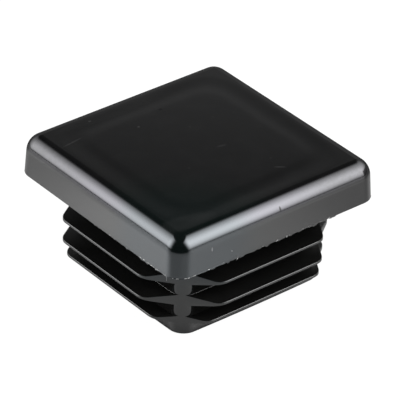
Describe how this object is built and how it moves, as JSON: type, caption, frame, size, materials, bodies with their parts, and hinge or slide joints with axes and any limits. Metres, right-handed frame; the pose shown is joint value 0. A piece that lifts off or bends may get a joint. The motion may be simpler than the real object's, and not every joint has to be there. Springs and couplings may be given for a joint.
{
  "type": "tube end cap",
  "caption": "Square push-in end cap: a rounded square head over a hollow shank with barbed fins that grip inside a tube.",
  "frame": {"origin": "centre of the seat, the flat underside of the head that lands on the tube's end", "axes": "+Z out of the tube through the head; X and Y along the sides of the square"},
  "size_m": [0.03, 0.03, 0.0165],
  "materials": {
    "moulding": "jet black moulded polyethylene, gloss"
  },
  "bodies": {
    "root": {"end_cap": "moulding"}
  },
  "joints": []
}
